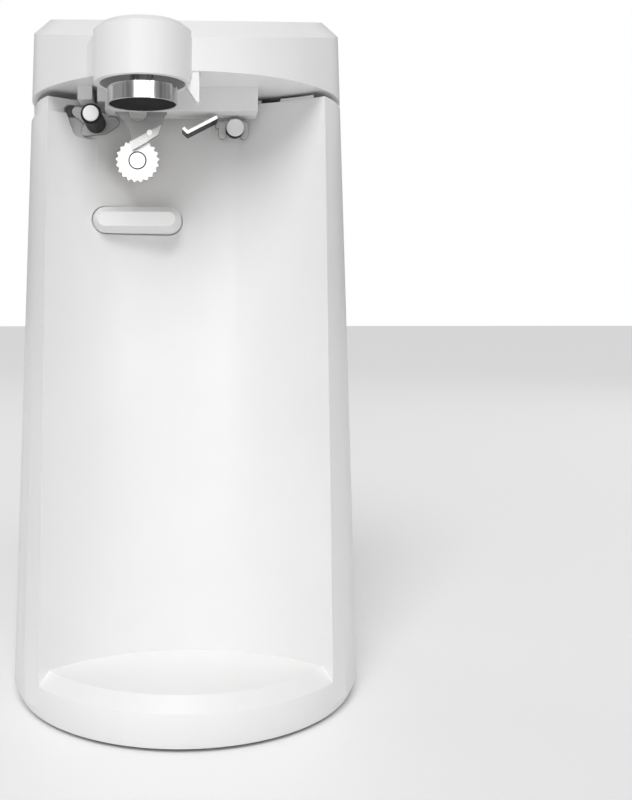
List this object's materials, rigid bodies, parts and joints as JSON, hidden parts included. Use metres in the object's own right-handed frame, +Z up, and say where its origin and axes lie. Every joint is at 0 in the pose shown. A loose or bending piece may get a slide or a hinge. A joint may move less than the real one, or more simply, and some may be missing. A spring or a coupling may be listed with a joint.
{
  "type": "electric can opener",
  "caption": "Tall electric can opener with a white tapering body, a concave can bay, a hinged cutting lever with a round magnet boss, a toothed drive wheel and a geared motor inside.",
  "frame": {"origin": "on the table, under the middle of the bounding box", "axes": "+Z up, front (can bay) faces -Y, +X to the right seen from the front"},
  "size_m": [0.1258, 0.121, 0.2456],
  "materials": {
    "white_shell": "satin",
    "grey_plastic": "satin",
    "black_plastic": "satin",
    "rubber_black": "matte",
    "cutter_steel": "brushed",
    "blade_steel": "ground",
    "wheel_steel": "sintered",
    "magnet_chrome": "polished",
    "magnet_ferrite": "matte",
    "screw_steel": "zinc",
    "frame_steel": "zinc",
    "laminations": "oiled",
    "copper_wire": "enamelled",
    "rotor_metal": "cast",
    "gear_nylon": "natural",
    "bronze": "sintered"
  },
  "bodies": {
    "housing": {"front_housing": "white_shell", "rear_cover": "white_shell", "base_plate": "grey_plastic", "rubber_feet": "rubber_black", "base_screws": "screw_steel", "cover_screws": "screw_steel", "cord_gland": "black_plastic", "can_rest": "white_shell", "lever_pin": "screw_steel", "shaft_bush": "bronze", "left_guide_plate": "cutter_steel", "left_guide_post": "black_plastic", "post_cap": "white_shell", "right_guide_plate": "cutter_steel", "right_guide_post": "black_plastic", "guide_strip": "cutter_steel", "gearbox_front_plate": "frame_steel", "gearbox_rear_plate": "frame_steel", "gearbox_spacers": "frame_steel", "gearbox_screws": "screw_steel", "gear_pins": "screw_steel", "motor_stator": "laminations", "motor_coil": "copper_wire", "coil_bobbin": "black_plastic", "motor_bracket": "frame_steel", "motor_spacers": "frame_steel", "motor_bearings": "bronze", "motor_screws": "screw_steel", "switch_body": "black_plastic"},
    "lever": {"lever_cover": "white_shell", "lever_base": "white_shell", "lever_screws": "screw_steel", "magnet_stem": "black_plastic", "cutter_plate": "cutter_steel", "cutting_blade": "blade_steel", "blade_rivet": "wheel_steel"},
    "magnet": {"magnet_cup": "magnet_chrome", "magnet_disc": "magnet_ferrite"},
    "drive": {"drive_wheel": "wheel_steel", "drive_shaft": "wheel_steel", "final_gear": "gear_nylon"},
    "second_gear": {"second_gear": "gear_nylon"},
    "first_gear": {"first_gear": "gear_nylon"},
    "rotor": {"rotor": "rotor_metal", "rotor_shaft": "screw_steel", "rotor_fan": "black_plastic"},
    "plunger": {"switch_plunger": "gear_nylon"}
  },
  "joints": [
    {"name": "lever_hinge", "type": "hinge", "parent": "housing", "child": "lever", "pos_m": [0.044, -0.002, 0.2185], "axis": [0, 1, 0], "range_deg": [-1.2, 8]},
    {"name": "magnet_tilt", "type": "hinge", "parent": "lever", "child": "magnet", "pos_m": [-0.014, -0.0448, 0.2115], "axis": [1, 0, 0], "range_deg": [-7, 7]},
    {"name": "rotor_spin", "type": "hinge", "parent": "housing", "child": "rotor", "pos_m": [0.00009, 0.01, 0.13957], "axis": [0, 1, 0], "continuous": true},
    {"name": "first_gear_spin", "type": "hinge", "parent": "housing", "child": "first_gear", "pos_m": [-0.00179, 0.01, 0.15747], "axis": [0, 1, 0], "continuous": true},
    {"name": "second_gear_spin", "type": "hinge", "parent": "housing", "child": "second_gear", "pos_m": [-0.00723, 0.01, 0.17776], "axis": [0, 1, 0], "continuous": true},
    {"name": "drive_wheel_spin", "type": "hinge", "parent": "housing", "child": "drive", "pos_m": [-0.017, -0.01, 0.1894], "axis": [0, 1, 0], "continuous": true},
    {"name": "plunger_slide", "type": "slide", "parent": "housing", "child": "plunger", "axis": [0, 0, 1], "range_m": [-0.0015, 0], "stiffness_N_per_m": 150, "springref_m": 0.0008}
  ],
  "couplings": [
    {"joint": "first_gear_spin", "follows": "rotor_spin", "ratio": -0.2},
    {"joint": "second_gear_spin", "follows": "rotor_spin", "ratio": 0.04},
    {"joint": "drive_wheel_spin", "follows": "rotor_spin", "ratio": -0.014286}
  ]
}
